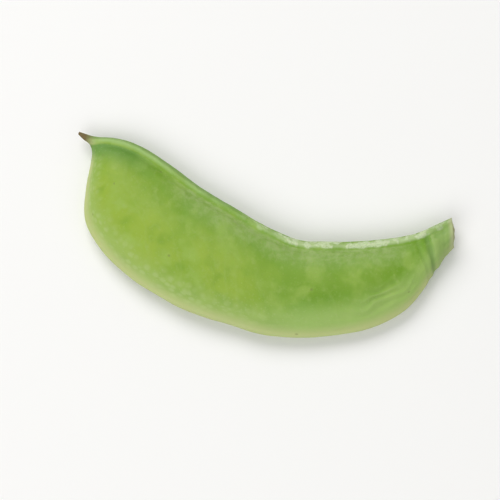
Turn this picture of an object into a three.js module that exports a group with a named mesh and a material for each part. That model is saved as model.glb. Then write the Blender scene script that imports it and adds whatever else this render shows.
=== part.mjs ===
// A lima bean pod: one flat, crescent-shaped legume pod, as picked, lying on its side.
//
// Millimetres, +Z up. +X runs along the pod from its beak to its stalk end, and +Y runs across it
// from the convex keel to the concave suture, the seam that carries the seeds. The origin is the
// middle of the pod's footprint, on the surface that it lies on.
import * as THREE from "three";

// Skin
const POD_GREEN = 0x8fb152;
const SKIN_ROUGHNESS = 0.45;

// Half thickness of the two rims. The beak and the neck are slimmer, and take a share of their own.
const SUTURE_RIM = 1.15;
const KEEL_RIM = 0.65;
const SUTURE_RIM_SHARE = 0.62;
const KEEL_RIM_SHARE = 0.5;
const RIM_ROUNDNESS = 0.5;

// Cross-section of a valve, from the suture (0) to the keel (1).
const BELLY_SKEW = 0.88;
const BELLY_FULLNESS = 0.95;

// Out of plane: both ends bend down, and the pod is twisted a little along its length.
const HALF_LENGTH = 43;
const END_DROP = 1.5;
const TWIST_DEG_PER_MM = 0.05;

// Seeds, seen as low swellings in both valves: where each lies along the pod, as a share of it.
const SEEDS = [0.3, 0.41, 0.52, 0.63, 0.74];
const SEED_ACROSS = 0.42;
const SEED_LONG_RADIUS = 5.6;
const SEED_SHORT_RADIUS = 4.4;
const SEED_RISE = 0.5;
const POD_ARC = 92;

// How the pod settles on a level surface.
const REST_ROLL_DEG = 2.45;
const REST_PITCH_DEG = 0.14;

// Fineness of the mesh
const RINGS_PER_STATION = 5;
const RING_POINTS = 32;

// Stations along the pod, from the tip of the beak to the stalk scar: a point on the suture,
// the point on the keel across from it, and the half thickness between them.
const STATIONS = [
  { suture: [-45.3, 17.1], keel: [-45.1, 16.4], half: 0.35 },
  { suture: [-43.2, 16.8], keel: [-43.0, 15.4], half: 0.6 },
  { suture: [-40.8, 16.7], keel: [-41.3, 13.6], half: 1.1 },
  { suture: [-38.0, 17.2], keel: [-40.8, 9.6], half: 1.8 },
  { suture: [-34.6, 17.3], keel: [-40.2, 3.8], half: 2.5 },
  { suture: [-30.2, 16.6], keel: [-38.6, -2.4], half: 3.0 },
  { suture: [-24.6, 14.6], keel: [-34.2, -7.2], half: 3.3 },
  { suture: [-17.0, 11.4], keel: [-26.5, -12.0], half: 3.4 },
  { suture: [-8.5, 8.6], keel: [-15.6, -15.6], half: 3.5 },
  { suture: [0.0, 6.0], keel: [-4.0, -16.9], half: 3.5 },
  { suture: [8.0, 4.5], keel: [8.0, -17.1], half: 3.4 },
  { suture: [16.0, 6.1], keel: [18.6, -14.6], half: 3.3 },
  { suture: [23.5, 8.2], keel: [28.0, -10.0], half: 3.1 },
  { suture: [29.6, 10.6], keel: [34.4, -4.2], half: 2.8 },
  { suture: [34.2, 13.4], keel: [37.6, 2.8], half: 2.4 },
  { suture: [37.0, 15.6], keel: [39.3, 7.6], half: 2.1 },
  { suture: [39.2, 17.4], keel: [41.2, 11.2], half: 2.0 },
];

const LAST = STATIONS.length - 1;
const RING_COUNT = LAST * RINGS_PER_STATION + 1;

// A smooth line through one row of the stations.
function lineThrough(pick) {
  return new THREE.CatmullRomCurve3(STATIONS.map((station) => new THREE.Vector3(...pick(station))));
}

const suture = lineThrough((station) => [...station.suture, 0]);
const keel = lineThrough((station) => [...station.keel, 0]);
const halfThickness = lineThrough((station) => [0, 0, station.half]);

// Swelling over the seeds at a share of the pod's length and a distance from the suture.
function seedRise(along, across, width) {
  let rise = 0;
  for (const seed of SEEDS) {
    const lengthwise = ((along - seed) * POD_ARC) / SEED_LONG_RADIUS;
    const sideways = ((across - SEED_ACROSS) * width) / SEED_SHORT_RADIUS;
    rise += SEED_RISE * Math.exp(-(lengthwise ** 2) - sideways ** 2);
  }
  return rise;
}

// Height of a valve's skin over the pod's middle plane.
function skinHeight(along, across, width, half) {
  const sutureRim = Math.min(SUTURE_RIM, SUTURE_RIM_SHARE * half);
  const keelRim = Math.min(KEEL_RIM, KEEL_RIM_SHARE * half);
  const rim = THREE.MathUtils.lerp(sutureRim, keelRim, across);
  const edge = Math.pow(4 * across * (1 - across), RIM_ROUNDNESS / 2);
  const belly = Math.pow(Math.sin(Math.PI * Math.pow(across, BELLY_SKEW)), BELLY_FULLNESS);
  return rim * edge + (half - rim) * belly + seedRise(along, across, width);
}

// The middle plane's height: the pod bends down towards its ends and twists along its length.
function middleHeight(x, y) {
  const twist = THREE.MathUtils.degToRad(TWIST_DEG_PER_MM * x);
  return -END_DROP * (x / HALF_LENGTH) ** 2 + y * Math.tan(twist);
}

// One point of the skin. A turn of 0 is on the suture, half a turn is on the keel,
// and the upper valve lies between them.
function skinPoint(along, turn) {
  const from = suture.getPoint(along);
  const to = keel.getPoint(along);
  const half = halfThickness.getPoint(along).z;
  const angle = 2 * Math.PI * turn;
  const across = (1 - Math.cos(angle)) / 2;
  const point = from.clone().lerp(to, across);
  const height = skinHeight(along, across, from.distanceTo(to), half);
  point.z = middleHeight(point.x, point.y) + Math.sign(Math.sin(angle)) * height;
  return point;
}

// The whole skin as rings from the beak to the stalk scar, closed by a fan over each end.
function podGeometry() {
  const positions = [];
  const triangles = [];
  for (let ring = 0; ring < RING_COUNT; ring += 1) {
    for (let step = 0; step < RING_POINTS; step += 1) {
      positions.push(...skinPoint(ring / (RING_COUNT - 1), step / RING_POINTS));
    }
  }
  const at = (ring, step) => ring * RING_POINTS + (step % RING_POINTS);
  for (let ring = 0; ring < RING_COUNT - 1; ring += 1) {
    for (let step = 0; step < RING_POINTS; step += 1) {
      triangles.push(at(ring, step), at(ring + 1, step + 1), at(ring + 1, step));
      triangles.push(at(ring, step), at(ring, step + 1), at(ring + 1, step + 1));
    }
  }
  const last = RING_COUNT - 1;
  for (let step = 1; step < RING_POINTS - 1; step += 1) {
    triangles.push(at(0, 0), at(0, step + 1), at(0, step));
    triangles.push(at(last, 0), at(last, step), at(last, step + 1));
  }
  const geometry = new THREE.BufferGeometry();
  geometry.setAttribute("position", new THREE.Float32BufferAttribute(positions, 3));
  geometry.setIndex(triangles);
  return geometry;
}

// Lays the pod down as it settles, with the middle of its footprint at the origin.
function settle(geometry) {
  geometry.rotateX(THREE.MathUtils.degToRad(REST_ROLL_DEG));
  geometry.rotateY(THREE.MathUtils.degToRad(REST_PITCH_DEG));
  geometry.computeBoundingBox();
  const middle = geometry.boundingBox.getCenter(new THREE.Vector3());
  geometry.translate(-middle.x, -middle.y, -geometry.boundingBox.min.z);
  geometry.computeVertexNormals();
  return geometry;
}

const skin = new THREE.MeshStandardMaterial({
  color: POD_GREEN,
  roughness: SKIN_ROUGHNESS,
  metalness: 0,
});

const pod = new THREE.Mesh(settle(podGeometry()), skin);
pod.name = "pod";

const limaBean = new THREE.Group();
limaBean.add(pod);

export default limaBean;
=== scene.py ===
"""A lima bean pod on a pale floor: its fine surface, its skin and the studio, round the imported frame."""
import math

import bpy
import numpy as np
from mathutils import Matrix, Vector


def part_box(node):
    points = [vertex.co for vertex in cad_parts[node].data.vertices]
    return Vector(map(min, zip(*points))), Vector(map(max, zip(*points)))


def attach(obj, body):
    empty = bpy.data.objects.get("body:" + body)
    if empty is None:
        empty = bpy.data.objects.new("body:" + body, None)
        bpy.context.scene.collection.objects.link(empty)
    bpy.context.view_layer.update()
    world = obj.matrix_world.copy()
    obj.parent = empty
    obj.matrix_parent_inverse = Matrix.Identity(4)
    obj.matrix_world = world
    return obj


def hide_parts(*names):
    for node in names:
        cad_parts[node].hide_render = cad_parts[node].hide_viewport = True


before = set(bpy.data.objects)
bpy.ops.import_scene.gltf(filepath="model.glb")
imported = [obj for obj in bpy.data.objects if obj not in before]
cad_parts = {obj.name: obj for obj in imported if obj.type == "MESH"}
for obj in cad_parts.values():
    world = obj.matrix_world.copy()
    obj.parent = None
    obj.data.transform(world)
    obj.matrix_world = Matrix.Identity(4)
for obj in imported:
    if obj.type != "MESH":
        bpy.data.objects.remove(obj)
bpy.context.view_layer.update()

MM = 0.001

# The pod's shape, in millimetres. X runs from the beak to the stalk end, and Y from the keel to the suture.
# Stations from the tip of the beak to the stalk scar: a point on the suture, the point on the keel across
# from it, and the half thickness between them.
STATIONS = (
    ((-45.3, 17.1), (-45.1, 16.4), 0.35),
    ((-43.2, 16.8), (-43.0, 15.4), 0.6),
    ((-40.8, 16.7), (-41.3, 13.6), 1.1),
    ((-38.0, 17.2), (-40.8, 9.6), 1.8),
    ((-34.6, 17.3), (-40.2, 3.8), 2.5),
    ((-30.2, 16.6), (-38.6, -2.4), 3.0),
    ((-24.6, 14.6), (-34.2, -7.2), 3.3),
    ((-17.0, 11.4), (-26.5, -12.0), 3.4),
    ((-8.5, 8.6), (-15.6, -15.6), 3.5),
    ((0.0, 6.0), (-4.0, -16.9), 3.5),
    ((8.0, 4.5), (8.0, -17.1), 3.4),
    ((16.0, 6.1), (18.6, -14.6), 3.3),
    ((23.5, 8.2), (28.0, -10.0), 3.1),
    ((29.6, 10.6), (34.4, -4.2), 2.8),
    ((34.2, 13.4), (37.6, 2.8), 2.4),
    ((37.0, 15.6), (39.3, 7.6), 2.1),
    ((39.2, 17.4), (41.2, 11.2), 2.0),
)
SUTURE_RIM = 1.15
KEEL_RIM = 0.65
SUTURE_RIM_SHARE = 0.62
KEEL_RIM_SHARE = 0.5
RIM_ROUNDNESS = 0.5
BELLY_SKEW = 0.88
BELLY_FULLNESS = 0.95
HALF_LENGTH = 43.0
END_DROP = 1.5
TWIST_DEG_PER_MM = 0.05
SEEDS = (0.3, 0.41, 0.52, 0.63, 0.74)
SEED_ACROSS = 0.42
SEED_LONG_RADIUS = 5.6
SEED_SHORT_RADIUS = 4.4
SEED_RISE = 0.5
POD_ARC = 92.0
REST_ROLL_DEG = 2.45
REST_PITCH_DEG = 0.14

# Heights and depths of the skin's relief: along the suture, along the keel and all over the valves
GROOVE_DEPTH = 0.36
CREST_HEIGHT = 0.26
FURROW_DEPTH = 0.26
WART_HEIGHT = 0.22
KEEL_RIDGE_HEIGHT = 0.1
KEEL_FURROW_DEPTH = 0.06
WAVE_HEIGHT = 0.17
LUMP_HEIGHT = 0.09
PIMPLE_HEIGHT = 0.028
PORE_HEIGHT = 0.012
VEIN_HEIGHT = 0.035
STRIPE_HEIGHT = 0.06
WRINKLE_HEIGHT = 0.08
WRINKLE_SPACING = 2.2
RIPPLE_HEIGHT = 0.06
RIPPLE_SPACING = 1.5

# The ends: the beak's rounded tip, and the stalk scar with its low rings round a pit
BEAK_TIP_RISE = 0.3
SCAR_ROUGHNESS = 0.16
SCAR_RING_HEIGHT = 0.1
SCAR_DEPTH = 0.55

# Folds across the neck: distance from the stalk scar at the suture, lean, height and half width.
NECK_FOLDS = (
    (8.2, 0.2, -0.24, 0.75),
    (6.6, 0.2, 0.14, 0.8),
    (11.4, 0.3, -0.1, 0.7),
    (3.4, 0.1, -0.07, 0.5),
)

# Fineness of the surface
RINGS = 420
RING_POINTS = 224
CAP_RINGS = 10
LINE_SAMPLES = 1600
SECTION_SAMPLES = 720
LINE_BLUR_RINGS = 4

# The noise repeats after this many lumps, and starts this many lumps in, where all places are positive.
LATTICE = 32
LATTICE_START = 1000


# --- Small tools for lines and fields -----------------------------------------------------------


def spline(points, along):
    """A centripetal Catmull-Rom line through the points, at shares of the way along it."""
    points = np.asarray(points, float)
    before = 2 * points[0] - points[1]
    after = 2 * points[-1] - points[-2]
    points = np.vstack([before, points, after])
    place = along * (len(points) - 3)
    first = np.minimum(place.astype(int), len(points) - 4)
    share = (place - first)[:, None]
    a, b, c, d = (points[first + k] for k in range(4))
    gap_ab, gap_bc, gap_cd = (np.linalg.norm(q - p, axis=1, keepdims=True) ** 0.5
                              for p, q in ((a, b), (b, c), (c, d)))
    slope_b = ((b - a) / gap_ab - (c - a) / (gap_ab + gap_bc) + (c - b) / gap_bc) * gap_bc
    slope_c = ((c - b) / gap_bc - (d - b) / (gap_bc + gap_cd) + (d - c) / gap_cd) * gap_bc
    return (
        b * (2 * share**3 - 3 * share**2 + 1)
        + c * (3 * share**2 - 2 * share**3)
        + slope_b * (share**3 - 2 * share**2 + share)
        + slope_c * (share**3 - share**2)
    )


def blur(rows, reach):
    """The rows smoothed along the first axis by a bell of that reach, in rows, with both ends kept."""
    steps = np.arange(-3 * reach, 3 * reach + 1)
    weights = np.exp(-0.5 * (steps / reach) ** 2)
    weights /= weights.sum()
    pad = 3 * reach
    head = 2 * rows[:1] - rows[pad:0:-1]
    tail = 2 * rows[-1:] - rows[-2:-pad - 2:-1]
    long = np.concatenate([head, rows, tail])
    return np.stack([np.convolve(column, weights, "valid") for column in long.T], axis=1)


def hill(distance, width):
    """A smooth hill of height 1 at distance 0."""
    return np.exp(-((distance / width) ** 2))


def step(value, low, high):
    """0 below low, 1 above high, and a smooth ramp between them."""
    share = np.clip((value - low) / (high - low), 0, 1)
    return share * share * (3 - 2 * share)


def noise(x, y, z, size, seed):
    """Smooth noise from -1 to 1 whose lumps are about size across."""
    lattice = np.random.default_rng(seed).uniform(-1, 1, (LATTICE, LATTICE, LATTICE))
    place = np.stack([x, y, z], axis=-1) / size + LATTICE_START
    corner = np.floor(place).astype(int)
    share = place - corner
    share = share * share * share * (share * (share * 6 - 15) + 10)
    total = 0
    for i in (0, 1):
        for j in (0, 1):
            for k in (0, 1):
                weight = np.ones(share.shape[:-1])
                for axis, far in enumerate((i, j, k)):
                    part = share[..., axis]
                    weight = weight * (part if far else 1 - part)
                at = (corner + (i, j, k)) % LATTICE
                total = total + weight * lattice[at[..., 0], at[..., 1], at[..., 2]]
    return total


# --- The pod's fine surface ---------------------------------------------------------------------


def station_lines():
    """Suture points, keel points, half thicknesses and lengths along the pod, one row for each ring."""
    fine = np.linspace(0, 1, LINE_SAMPLES)
    suture = spline([s[0] for s in STATIONS], fine)
    keel = spline([s[1] for s in STATIONS], fine)
    knots = np.linspace(0, 1, len(STATIONS))
    half = np.interp(fine, knots, [s[2] for s in STATIONS])[:, None]
    moves = (np.diff(suture, axis=0), np.diff(keel, axis=0))
    stride = sum(np.linalg.norm(move, axis=1) for move in moves) / 2
    travel = np.concatenate([[0], np.cumsum(stride)])
    lines = np.hstack([suture, keel, half, fine[:, None], travel[:, None]])
    even = np.linspace(0, travel[-1], RINGS)
    rows = np.stack([np.interp(even, travel, column) for column in lines.T], axis=1)
    smooth = blur(rows, LINE_BLUR_RINGS)
    smooth[:, 5:] = rows[:, 5:]
    return smooth[:, 0:2], smooth[:, 2:4], smooth[:, 4], smooth[:, 5], smooth[:, 6]


def belly_height(along, across, width, half):
    """Height of a valve's skin over the pod's middle plane, with the swellings over the seeds."""
    suture_rim = np.minimum(SUTURE_RIM, SUTURE_RIM_SHARE * half)
    keel_rim = np.minimum(KEEL_RIM, KEEL_RIM_SHARE * half)
    rim = suture_rim + (keel_rim - suture_rim) * across
    edge = np.clip(4 * across * (1 - across), 0, None) ** (RIM_ROUNDNESS / 2)
    belly = np.clip(np.sin(math.pi * across**BELLY_SKEW), 0, None) ** BELLY_FULLNESS
    return rim * edge + (half - rim) * belly + seed_rise(along, across, width)


def seed_rise(along, across, width):
    rise = 0
    for seed in SEEDS:
        lengthwise = (along - seed) * POD_ARC / SEED_LONG_RADIUS
        sideways = (across - SEED_ACROSS) * width / SEED_SHORT_RADIUS
        rise = rise + SEED_RISE * np.exp(-(lengthwise**2) - sideways**2)
    return rise


def ring_turns():
    """Where a ring's points lie, as angles: evenly along the skin, and closer together at the suture."""
    angle = np.linspace(0, 2 * math.pi, SECTION_SAMPLES + 1)
    across = (1 - np.cos(angle)) / 2
    middle = STATIONS[len(STATIONS) // 2]
    width = math.dist(middle[0], middle[1])
    height = np.sign(np.sin(angle)) * belly_height(0.25, across, width, middle[2])
    stride = np.hypot(np.diff(across * width), np.diff(height))
    from_suture = (across[1:] + across[:-1]) / 2 * width
    crowding = 1 + 1.6 * hill(from_suture, 2.6) + 0.5 * hill(from_suture - width, 1.5)
    travel = np.concatenate([[0], np.cumsum(stride * crowding)])
    even = np.arange(RING_POINTS) / RING_POINTS * travel[-1]
    return np.interp(even, travel, angle)


def normals_of(points):
    """Unit normals that face out of a grid of rings."""
    ahead = np.gradient(points, axis=0)
    around = np.roll(points, -1, axis=1) - np.roll(points, 1, axis=1)
    normal = np.cross(around, ahead)
    return normal / np.linalg.norm(normal, axis=2, keepdims=True)


def skin_relief(place):
    """How far the skin stands out from the plain shape at each point, in millimetres."""
    length, suture, keel, side = place["length"], place["suture"], place["keel"], place["side"]
    x, y, z = length, suture, side * 3
    body = place["body"]
    relief = -GROOVE_DEPTH * hill(suture, 0.32)
    relief += CREST_HEIGHT * hill(suture - 1.7, 0.6)
    relief -= FURROW_DEPTH * hill(suture - 3.2, 0.9) * body
    relief += WART_HEIGHT * place["wart"]
    relief += KEEL_RIDGE_HEIGHT * hill(keel, 0.4) - KEEL_FURROW_DEPTH * hill(keel - 1.1, 0.45) * body
    relief += body * (WAVE_HEIGHT * noise(x, y, z, 12, 5) + LUMP_HEIGHT * noise(x, y, z, 5, 6))
    relief += PIMPLE_HEIGHT * noise(x, y * 1.3, z, 1.6, 7) + PORE_HEIGHT * noise(x, y, z, 0.8, 8)
    relief += VEIN_HEIGHT * place["vein"]
    relief += place["fold"]
    return relief


def warts(place):
    """Low warts on the suture's rims, 0 between them, and thicker towards the neck."""
    x, y, z = place["length"], place["suture"], place["side"] * 3
    lumps = np.clip(noise(x, y * 1.4, z, 1.5, 3), 0, 1) + 0.6 * np.clip(noise(x, y, z, 0.8, 4), 0, 1)
    return lumps * hill(y - 1.5, 0.9) * (0.35 + 0.65 * step(x, 40, 62))


def veins(place):
    """Faint veins, 1 on their lines, that leave the suture at a slant and branch towards the keel."""
    slant = place["length"] - 0.8 * place["suture"]
    wander = 3.4 * noise(place["length"], place["suture"], place["side"] * 3, 9, 11)
    wander += 1.1 * noise(place["length"], place["suture"], place["side"] * 3, 3.5, 13)
    lines = np.abs(noise(slant + wander, place["suture"] * 0.22, place["side"] * 3, 4.5, 12))
    inside = step(place["suture"], 2.5, 5) * step(place["keel"], 1, 4)
    return hill(lines, 0.12) * inside * place["body"]


def folds(place):
    """Height of the neck's crease, collar and stripes, the shoulder's wrinkles and the suture's ripples."""
    stalk, suture, keel = place["stalk"], place["suture"], place["keel"]
    wander = 0.45 * noise(stalk, suture, place["side"] * 3, 3, 21)
    across = 0
    for start, lean, height, width in NECK_FOLDS:
        across = across + height * hill(stalk - start + lean * suture + wander, width)
    across = across * step(suture, 1.6, 3.2)
    stripes = STRIPE_HEIGHT * noise(stalk / 8, suture, place["side"] * 3, 0.9, 22) * (1 - step(stalk, 6, 10))
    shoulder = hill(stalk - 20, 6.5) * step(keel, 2, 3.5) * (1 - step(keel, 7, 10))
    phase = 2 * math.pi * (keel + 1.6 * wander) / WRINKLE_SPACING
    wrinkles = WRINKLE_HEIGHT * shoulder * np.sin(phase)
    under_suture = hill(stalk - 31, 8) * step(suture, 2.2, 3) * (1 - step(suture, 4.5, 6.5))
    phase = 2 * math.pi * (suture + 1.6 * wander) / RIPPLE_SPACING
    ripples = RIPPLE_HEIGHT * under_suture * np.sin(phase)
    return across + stripes + wrinkles + ripples


def lay_down(points):
    """Bends and twists the flat pod, and tips it the way it settles."""
    x, y = points[..., 0], points[..., 1]
    twist = np.radians(TWIST_DEG_PER_MM * x)
    points[..., 2] += y * np.tan(twist) - END_DROP * (x / HALF_LENGTH) ** 2
    roll, pitch = math.radians(REST_ROLL_DEG), math.radians(REST_PITCH_DEG)
    turn = Matrix.Rotation(pitch, 3, "Y") @ Matrix.Rotation(roll, 3, "X")
    return points @ np.array(turn).T


def pod_surface():
    """The skin's points as a grid of rings, and what the relief and the colours read at each of them."""
    suture, keel, half, along, length = station_lines()
    angle = ring_turns()
    across = (1 - np.cos(angle)) / 2
    side = np.sign(np.sin(angle))
    width = np.linalg.norm(keel - suture, axis=1)
    grid_along, grid_across = np.broadcast_arrays(along[:, None], across[None, :])
    height = belly_height(grid_along, grid_across, width[:, None], half[:, None])
    points = np.empty((RINGS, RING_POINTS, 3))
    points[..., :2] = suture[:, None] + (keel - suture)[:, None] * across[None, :, None]
    points[..., 2] = side * height
    stride = np.linalg.norm(np.diff(points, axis=1), axis=2)
    travel = np.concatenate([np.zeros((RINGS, 1)), np.cumsum(stride, axis=1)], axis=1)
    closing = np.linalg.norm(points[:, 0] - points[:, -1], axis=1)
    around = travel[:, -1] + closing
    from_suture = np.minimum(travel, around[:, None] - travel)
    far = from_suture.max(axis=1, keepdims=True)
    from_keel = far - from_suture
    near_rim = np.minimum(from_suture, from_keel)
    place = {
        "length": np.broadcast_to(length[:, None], from_suture.shape),
        "stalk": np.broadcast_to(length[-1] - length[:, None], from_suture.shape),
        "suture": from_suture,
        "keel": from_keel,
        "side": side[None, :] * np.minimum(near_rim, 4) / 4,
        "body": np.broadcast_to(step(width, 3, 14)[:, None], from_suture.shape),
        "seed": seed_rise(grid_along, grid_across, width[:, None]) / SEED_RISE,
    }
    place["wart"] = warts(place)
    place["vein"] = veins(place)
    place["fold"] = folds(place)
    points = points + normals_of(points) * skin_relief(place)[..., None]
    return points, place


def cap(ring, roughness, dent):
    """Rings that close an end, from its last ring to its middle, that rough and dented in millimetres."""
    middle = ring.mean(axis=0)
    outward = np.cross(ring[RING_POINTS // 4] - middle, ring[0] - middle)
    outward /= np.linalg.norm(outward)
    rings = []
    for number in range(1, CAP_RINGS):
        share = number / CAP_RINGS
        flat = middle + (ring - middle) * (1 - share)
        lumps = roughness * 4 * share * (1 - share) * noise(flat[:, 0], flat[:, 1], flat[:, 2], 0.7, 31)
        rings.append(flat + outward * (dent(share) + lumps)[:, None])
    return np.stack(rings), middle + outward * dent(1.0)


def beak_dent(share):
    """How far the beak's tip rounds out, at a share of the way from its last ring to its middle."""
    return BEAK_TIP_RISE * math.sin(share * math.pi / 2)


def scar_dent(share):
    """How far the stalk scar stands out, at a share of the way from its edge to its middle."""
    return SCAR_RING_HEIGHT * math.sin(share * 8) - SCAR_DEPTH * share**2 * (2 - share)


def build_pod():
    """The pod's mesh in the frame, closed at both ends, with the fields that its material reads."""
    points, place = pod_surface()
    beak_rings, beak_tip = cap(points[0], 0, beak_dent)
    scar_rings, scar_middle = cap(points[-1], SCAR_ROUGHNESS, scar_dent)
    grid = np.concatenate([beak_rings[::-1], points, scar_rings])
    total = len(grid)
    verts = np.concatenate([grid.reshape(-1, 3), [beak_tip], [scar_middle]])
    verts = lay_down(verts)
    low, high = verts.min(axis=0), verts.max(axis=0)
    middle = (low + high) / 2
    verts -= (middle[0], middle[1], low[2])
    verts *= MM
    floor_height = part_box("pod")[0][2]
    verts += (0, 0, floor_height)

    steps = np.arange(RING_POINTS)
    nexts = (steps + 1) % RING_POINTS
    faces = []
    for ring in range(total - 1):
        a, b = ring * RING_POINTS, (ring + 1) * RING_POINTS
        faces.append(np.stack([a + steps, a + nexts, b + nexts, b + steps], axis=1))
    quads = np.concatenate(faces)
    first, last = total * RING_POINTS, total * RING_POINTS + 1
    end = (total - 1) * RING_POINTS
    fans = [(first, int(n), int(s)) for s, n in zip(steps, nexts)]
    fans += [(last, int(end + s), int(end + n)) for s, n in zip(steps, nexts)]
    mesh = bpy.data.meshes.new("pod_fine")
    mesh.from_pydata(verts.tolist(), [], quads.tolist() + fans)
    mesh.shade_smooth()

    def full(field, beak, scar):
        """A field over every vertex: that of the grid, and one value over each end's cap."""
        caps = (CAP_RINGS - 1) * RING_POINTS
        return np.concatenate([np.full(caps, beak), field.ravel(), np.full(caps, scar), [beak, scar]])

    top = place["length"].max()
    fields = {
        "length": full(place["length"], 0.0, top),
        "stalk": full(place["stalk"], top, 0.0),
        "suture": full(place["suture"], 2.0, 3.0),
        "keel": full(place["keel"], 2.0, 3.0),
        "side": full(place["side"], 0.0, 0.0),
        "seed": full(place["seed"], 0.0, 0.0),
        "wart": full(place["wart"], 0.0, 0.0),
        "vein": full(place["vein"], 0.0, 0.0),
        "fold": full(place["fold"], 0.0, 0.0),
        "scar": full(np.zeros_like(place["suture"]), 0.0, 1.0),
        "pit": full(np.zeros_like(place["suture"]), 0.0, 1.0),
    }
    scar_start = (CAP_RINGS - 1 + RINGS) * RING_POINTS
    shares = np.repeat(np.arange(1, CAP_RINGS) / CAP_RINGS, RING_POINTS)
    fields["pit"][scar_start:scar_start + len(shares)] = shares
    for name, values in fields.items():
        layer = mesh.attributes.new(name, "FLOAT", "POINT")
        layer.data.foreach_set("value", values.astype(np.float32))
    pod = bpy.data.objects.new("pod_fine", mesh)
    bpy.context.scene.collection.objects.link(pod)
    return pod


# --- The skin's material ------------------------------------------------------------------------

# Colours of the skin, in linear light
BEAK_HALF_GREEN = (0.3, 0.44, 0.042)
NECK_HALF_GREEN = (0.17, 0.34, 0.02)
PALE_BLOTCH = (0.32, 0.48, 0.085)
DARK_BLOTCH = (0.14, 0.3, 0.014)
MOTTLE = (0.34, 0.48, 0.12)
# Painted light over the seed swellings
SEED_PAINTED_LIGHT = (0.32, 0.46, 0.08)
# Paler towards the keel: partly own colour, partly painted light from the front
KEEL_PALE_AND_LIT = (0.36, 0.5, 0.15)
LOWER_NECK_PALE_AND_LIT = (0.38, 0.56, 0.15)
KEEL_TAN = (0.53, 0.58, 0.25)
STIPPLE = (0.46, 0.57, 0.22)
# Painted shade under the suture ridge by the beak
PAINTED_SHADE_UNDER_SUTURE = (0.115, 0.275, 0.04)
UNDER_SUTURE_BLOOM = (0.33, 0.46, 0.15)
# Pale suture rims: partly their own colour, partly a painted highlight
RIM_BEAK_HALF_PALE_AND_HIGHLIGHT = (0.34, 0.52, 0.17)
RIM_NECK_HALF_PALE_AND_HIGHLIGHT = (0.47, 0.6, 0.29)
# Painted shade on the rims' outer faces beyond their crests
RIM_OUTSIDE_PAINTED_SHADE = (0.18, 0.32, 0.065)
# Pale crust on the warts: partly their own colour, partly a painted highlight
CRUST_AND_HIGHLIGHT = (0.6, 0.7, 0.44)
# Painted shade in the suture's groove
GROOVE_PAINTED_SHADE = (0.14, 0.24, 0.05)
DOT = (0.42, 0.54, 0.2)
SPECK = (0.18, 0.18, 0.06)
NECK_GREY = (0.22, 0.35, 0.1)
# Painted shade at the folds' feet and a painted highlight on their crests
FOLD_FOOT_PAINTED_SHADE = (0.12, 0.25, 0.05)
FOLD_CREST_PAINTED_HIGHLIGHT = (0.36, 0.51, 0.15)
SCAR_EDGE = (0.5, 0.52, 0.3)
DRY_BEAK = (0.17, 0.12, 0.05)
SCAR_OUTER = (0.45, 0.46, 0.22)
SCAR_PIT = (0.27, 0.23, 0.11)
SCAR_FIBRE = (0.6, 0.58, 0.37)

# The skin's surface. Lengths are in metres, apart from how far apart the patterns take the two sides to be.
SKIN_ROUGHNESS = 0.38
SKIN_ROUGHNESS_SPREAD = 0.24
SKIN_SPECULAR = 0.3
SUBSURFACE_SHARE = 0.12
SUBSURFACE_COLOUR_REACH = (0.5, 1.0, 0.18)
SUBSURFACE_REACH = 0.0011
GRAIN_HEIGHT = 0.00006
GRAIN_STRENGTH = 0.6
FIBRES_PER_METRE = 1300.0
SIDES_APART = 6.0


class Nodes:
    """Short ways to add shader nodes to a material."""

    def __init__(self, name):
        self.material = bpy.data.materials.new(name)
        self.material.use_nodes = True
        self.tree = self.material.node_tree
        self.bsdf = self.tree.nodes["Principled BSDF"]

    def link(self, value, socket):
        """Gives a socket a number, a colour or another node's output."""
        if isinstance(value, (int, float)):
            socket.default_value = value
        elif isinstance(value, tuple):
            socket.default_value = (*value, 1)
        else:
            self.tree.links.new(value, socket)

    def field(self, name):
        node = self.tree.nodes.new("ShaderNodeAttribute")
        node.attribute_name = name
        return node.outputs["Fac"]

    def spot(self):
        """The point itself, in metres."""
        return self.tree.nodes.new("ShaderNodeTexCoord").outputs["Object"]

    def math(self, operation, *values, clamp=False):
        node = self.tree.nodes.new("ShaderNodeMath")
        node.operation = operation
        node.use_clamp = clamp
        for value, socket in zip(values, node.inputs):
            self.link(value, socket)
        return node.outputs[0]

    def ramp(self, value, low, high, start=0.0, end=1.0):
        """start below low, end above high, with a smooth step between them."""
        node = self.tree.nodes.new("ShaderNodeMapRange")
        node.interpolation_type = "SMOOTHSTEP"
        for number, entry in enumerate((value, low, high, start, end)):
            self.link(entry, node.inputs[number])
        return node.outputs[0]

    def vector(self, x, y, z):
        node = self.tree.nodes.new("ShaderNodeCombineXYZ")
        for value, socket in zip((x, y, z), node.inputs):
            self.link(value, socket)
        return node.outputs[0]

    def noise(self, vector, scale, detail, roughness):
        node = self.tree.nodes.new("ShaderNodeTexNoise")
        self.link(vector, node.inputs["Vector"])
        node.inputs["Scale"].default_value = scale
        node.inputs["Detail"].default_value = detail
        node.inputs["Roughness"].default_value = roughness
        return node.outputs["Fac"]

    def cells(self, vector, scale):
        node = self.tree.nodes.new("ShaderNodeTexVoronoi")
        self.link(vector, node.inputs["Vector"])
        node.inputs["Scale"].default_value = scale
        return node.outputs["Distance"]

    def mix(self, share, first, second):
        node = self.tree.nodes.new("ShaderNodeMix")
        node.data_type = "RGBA"
        node.clamp_factor = True
        self.link(share, node.inputs["Factor"])
        self.link(first, node.inputs[6])
        self.link(second, node.inputs[7])
        return node.outputs[2]

    def bump(self, height, distance, strength):
        node = self.tree.nodes.new("ShaderNodeBump")
        self.link(height, node.inputs["Height"])
        node.inputs["Distance"].default_value = distance
        node.inputs["Strength"].default_value = strength
        return node.outputs["Normal"]


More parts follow.
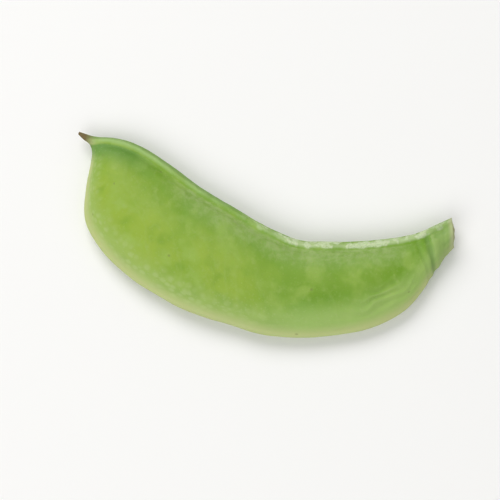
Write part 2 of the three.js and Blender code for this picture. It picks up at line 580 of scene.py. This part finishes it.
def skin_material():
    """The skin's material. Its ramps read millimetres from the suture, the keel, the beak or the scar."""
    n = Nodes("pod_skin")
    length, stalk, suture, keel = n.field("length"), n.field("stalk"), n.field("suture"), n.field("keel")
    side, seed, wart, vein = n.field("side"), n.field("seed"), n.field("wart"), n.field("vein")
    fold, scar, pit = n.field("fold"), n.field("scar"), n.field("pit")
    place = n.vector(length, suture, n.math("MULTIPLY", side, SIDES_APART))

    # The valve: yellower towards the beak, a fuller green towards the neck, and blotched all over.
    towards_neck = n.ramp(length, 12.0, 85.0)
    drift = n.math("MULTIPLY_ADD", n.noise(place, 0.09, 3.0, 0.55), 2.2, -1.1)
    drift = n.math("ADD", drift, n.ramp(suture, 16.0, 5.0, 0, 0.5))
    greenness = n.math("ADD", towards_neck, drift, clamp=True)
    colour = n.mix(greenness, BEAK_HALF_GREEN, NECK_HALF_GREEN)
    blotches = n.noise(place, 0.17, 2.5, 0.5)
    colour = n.mix(n.ramp(blotches, 0.5, 0.68, 0, 0.6), colour, PALE_BLOTCH)
    colour = n.mix(n.ramp(blotches, 0.48, 0.28, 0, 0.45), colour, DARK_BLOTCH)
    mottle = n.noise(place, 0.6, 3.0, 0.6)
    colour = n.mix(n.ramp(mottle, 0.5, 0.75, 0, 0.32), colour, MOTTLE)
    # Paler over the seeds: painted light on their swellings.
    colour = n.mix(n.ramp(seed, 0.3, 1.0, 0, 0.22), colour, SEED_PAINTED_LIGHT)
    colour = n.mix(n.math("MULTIPLY", vein, 0.12), colour, MOTTLE)

    # Towards the keel the green turns paler and yellower, partly its own colour and partly painted light
    # where the lower margin turns to the front, and the rim itself is a pale tan.
    colour = n.mix(n.ramp(keel, 8.0, 1.5, 0, 0.6), colour, KEEL_PALE_AND_LIT)
    lower_neck_pale_and_lit = n.math("MULTIPLY", n.ramp(keel, 10.0, 4.5, 0, 0.62), n.ramp(length, 56.0, 70.0))
    colour = n.mix(lower_neck_pale_and_lit, colour, LOWER_NECK_PALE_AND_LIT)
    colour = n.mix(n.ramp(keel, 3.2, 0.4, 0, 0.85), colour, KEEL_TAN)

    # A pale stipple lies in a band along the keel, and is thickest round the beak's end.
    stipple = n.ramp(n.cells(place, 0.6), 0.6, 0.18)
    stippled = n.math("MULTIPLY", n.ramp(keel, 8.0, 3.0), n.ramp(length, 70.0, 40.0, 0.15, 1.0))
    stipple_share = n.math("MULTIPLY", n.math("MULTIPLY", stipple, stippled), 0.42)
    colour = n.mix(stipple_share, colour, STIPPLE)

    # Under the suture ridge by the beak the valve gets painted shade, and from there to the neck it has a
    # pale bloom.
    under = n.math("MULTIPLY", n.ramp(suture, 2.3, 3.1), n.ramp(suture, 9.0, 3.6))
    dark = n.math("MULTIPLY", under, n.ramp(length, 14.0, 28.0, 0.85, 0.0))
    colour = n.mix(dark, colour, PAINTED_SHADE_UNDER_SUTURE)
    bloom = n.math("MULTIPLY", under, n.ramp(length, 24.0, 36.0))
    bloom = n.math("MULTIPLY", bloom, n.ramp(stalk, 10.0, 18.0))
    bloom = n.math("MULTIPLY", bloom, n.ramp(mottle, 0.35, 0.65, 0.4, 0.85))
    colour = n.mix(bloom, colour, UNDER_SUTURE_BLOOM)

    # The suture's rims are pale bluish green in places, partly their own colour and partly a painted
    # highlight. They are crusted with pale warts on the neck's half, whose tops also carry a painted
    # highlight, and carry painted shade outside their crests on the beak's half.
    rim_pale_and_highlight_share = n.math("MULTIPLY", n.ramp(suture, 2.7, 1.9, 0, 0.85), n.ramp(suture, 0.7, 1.3, 0.3, 1.0))
    rim_pale_and_highlight_share = n.math("MULTIPLY", rim_pale_and_highlight_share, n.ramp(n.noise(place, 0.14, 2.0, 0.5), 0.36, 0.56, 0.4, 1.0))
    rim_pale_and_highlight_colour = n.mix(n.ramp(length, 46.0, 64.0), RIM_BEAK_HALF_PALE_AND_HIGHLIGHT, RIM_NECK_HALF_PALE_AND_HIGHLIGHT)
    colour = n.mix(rim_pale_and_highlight_share, colour, rim_pale_and_highlight_colour)
    # Painted shade on the rims' outer faces beyond their crests, on the beak's half.
    outside_crest_shade = n.math("MULTIPLY", n.ramp(suture, 1.7, 1.1, 0, 0.75), n.ramp(length, 54.0, 40.0))
    colour = n.mix(outside_crest_shade, colour, RIM_OUTSIDE_PAINTED_SHADE)
    # The pale crust on the wart tops is partly the warts' own colour and partly a painted highlight.
    crust = n.noise(place, 2.0, 3.0, 0.65)
    crust_and_highlight_share = n.math("MULTIPLY", n.ramp(wart, 0.03, 0.4), n.ramp(crust, 0.35, 0.55, 0.45, 1.0))
    crust_and_highlight_share = n.math("MULTIPLY", crust_and_highlight_share, n.ramp(length, 45.0, 64.0, 0.08, 0.95))
    colour = n.mix(crust_and_highlight_share, colour, CRUST_AND_HIGHLIGHT)
    # Painted shade darkens the groove along the suture.
    colour = n.mix(n.ramp(suture, 0.4, 0.05, 0, 0.55), colour, GROOVE_PAINTED_SHADE)

    # Fine pale dots, thicker near the rims, and a few dull specks.
    dots = n.ramp(n.cells(place, 1.15), 0.3, 0.16)
    near_keel, near_suture = n.ramp(keel, 9.0, 1.0, 0.25, 1.0), n.ramp(suture, 6.0, 1.0, 0, 0.4)
    dotted = n.math("MULTIPLY", dots, n.math("ADD", near_keel, near_suture, clamp=True))
    colour = n.mix(n.math("MULTIPLY", dotted, 0.3), colour, DOT)
    specks = n.ramp(n.cells(place, 0.16), 0.075, 0.03, 0, 0.5)
    specks = n.math("MULTIPLY", specks, n.ramp(mottle, 0.42, 0.55))
    colour = n.mix(specks, colour, SPECK)

    # The neck is greyer past its crease. The folds get painted shade at their feet and a painted highlight
    # on their crests.
    colour = n.mix(n.ramp(stalk, 9.0, 5.5, 0, 0.5), colour, NECK_GREY)
    colour = n.mix(n.ramp(fold, -0.01, -0.22, 0, 0.42), colour, FOLD_FOOT_PAINTED_SHADE)
    colour = n.mix(n.ramp(fold, 0.005, 0.1, 0, 0.5), colour, FOLD_CREST_PAINTED_HIGHLIGHT)

    # The beak is dry and brown at its tip. The stalk scar is tan with pale fibres, and darker in its pit.
    colour = n.mix(n.ramp(stalk, 1.7, 0.3, 0, 0.7), colour, SCAR_EDGE)
    dry = n.math("ADD", n.ramp(length, 5.0, 1.2), n.math("MULTIPLY_ADD", crust, 0.6, -0.3), clamp=True)
    dry = n.math("MULTIPLY", dry, n.ramp(length, 6.0, 4.0))
    colour = n.mix(dry, colour, DRY_BEAK)
    fibres = n.noise(n.spot(), FIBRES_PER_METRE, 3.0, 0.6)
    scar_colour = n.mix(n.ramp(pit, 0.2, 0.9), SCAR_OUTER, SCAR_PIT)
    scar_colour = n.mix(n.ramp(fibres, 0.42, 0.62, 0, 0.6), scar_colour, SCAR_FIBRE)
    colour = n.mix(scar, colour, scar_colour)

    n.link(colour, n.bsdf.inputs["Base Color"])
    sheen = n.noise(place, 0.8, 3.0, 0.6)
    roughness = n.math("MULTIPLY_ADD", sheen, SKIN_ROUGHNESS_SPREAD, SKIN_ROUGHNESS)
    n.link(n.math("ADD", roughness, n.math("MULTIPLY", dry, 0.3)), n.bsdf.inputs["Roughness"])
    grain = n.math("ADD", n.noise(place, 3.2, 3.0, 0.6), n.math("MULTIPLY", dots, -0.25))
    n.link(n.bump(grain, GRAIN_HEIGHT, GRAIN_STRENGTH), n.bsdf.inputs["Normal"])
    n.bsdf.inputs["Subsurface Weight"].default_value = SUBSURFACE_SHARE
    n.bsdf.inputs["Subsurface Radius"].default_value = SUBSURFACE_COLOUR_REACH
    n.bsdf.inputs["Subsurface Scale"].default_value = SUBSURFACE_REACH
    n.bsdf.inputs["Specular IOR Level"].default_value = SKIN_SPECULAR
    return n.material


# --- The studio ---------------------------------------------------------------------------------

CAMERA_AZIMUTH = math.radians(-13.8)
CAMERA_ELEVATION = math.radians(80.0)
CAMERA_DISTANCE = 0.42
CAMERA_LENS = 138.0
# Name, azimuth and elevation in degrees, distance and size in metres, power in watts, and colour
LIGHTS = (
    ("key_light", 140, 48, 1.1, 0.85, 7.2, (1.0, 0.99, 0.975)),
    ("front_light", 15, 50, 1.1, 0.9, 5.0, (1.0, 0.995, 0.985)),
    ("fill_light", -60, 40, 1.2, 1.0, 1.2, (0.98, 0.99, 1.0)),
)
SKY_STRENGTH = 0.29
FLOOR_HALF_WIDTH = 3.0
FLOOR_COLOUR = (0.95, 0.95, 0.94, 1)


def direction(azimuth, elevation):
    """Unit vector from the pod towards a place at that azimuth, clockwise from -Y, and elevation."""
    flat = math.cos(elevation)
    return Vector((-math.sin(azimuth) * flat, -math.cos(azimuth) * flat, math.sin(elevation)))


def add_camera(aim):
    camera = bpy.data.objects.new("camera", bpy.data.cameras.new("camera"))
    camera.data.lens = CAMERA_LENS
    camera.data.sensor_width = 36.0
    camera.data.clip_start = 0.01
    camera.data.clip_end = 10.0
    away = direction(CAMERA_AZIMUTH, CAMERA_ELEVATION)
    camera.location = aim + away * CAMERA_DISTANCE
    camera.rotation_euler = away.to_track_quat("Z", "Y").to_euler()
    bpy.context.scene.collection.objects.link(camera)
    bpy.context.scene.camera = camera


def add_light(aim, name, azimuth, elevation, distance, size, power, colour):
    light = bpy.data.lights.new(name, "AREA")
    light.shape = "DISK"
    light.size = size
    light.energy = power
    light.color = colour
    lamp = bpy.data.objects.new(name, light)
    away = direction(math.radians(azimuth), math.radians(elevation))
    lamp.location = aim + away * distance
    lamp.rotation_euler = away.to_track_quat("Z", "Y").to_euler()
    bpy.context.scene.collection.objects.link(lamp)


def add_floor():
    size = FLOOR_HALF_WIDTH
    corners = [(-size, -size, 0), (size, -size, 0), (size, size, 0), (-size, size, 0)]
    mesh = bpy.data.meshes.new("floor")
    mesh.from_pydata(corners, [], [(0, 1, 2, 3)])
    floor = bpy.data.objects.new("floor", mesh)
    bpy.context.scene.collection.objects.link(floor)
    paper = bpy.data.materials.new("floor_paper")
    paper.use_nodes = True
    bsdf = paper.node_tree.nodes["Principled BSDF"]
    bsdf.inputs["Base Color"].default_value = FLOOR_COLOUR
    bsdf.inputs["Roughness"].default_value = 0.9
    bsdf.inputs["Specular IOR Level"].default_value = 0.1
    mesh.materials.append(paper)


def add_sky():
    world = bpy.data.worlds.new("sky")
    bpy.context.scene.world = world
    world.use_nodes = True
    background = world.node_tree.nodes["Background"]
    background.inputs["Color"].default_value = (1.0, 1.0, 1.0, 1)
    background.inputs["Strength"].default_value = SKY_STRENGTH


pod = build_pod()
pod.data.materials.append(skin_material())
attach(pod, "root")
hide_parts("pod")

low, high = (Vector(corner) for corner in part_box("pod"))
aim = (low + high) / 2
add_camera(aim)
for light in LIGHTS:
    add_light(aim, *light)
add_floor()
add_sky()
bpy.context.scene.view_settings.view_transform = "Standard"
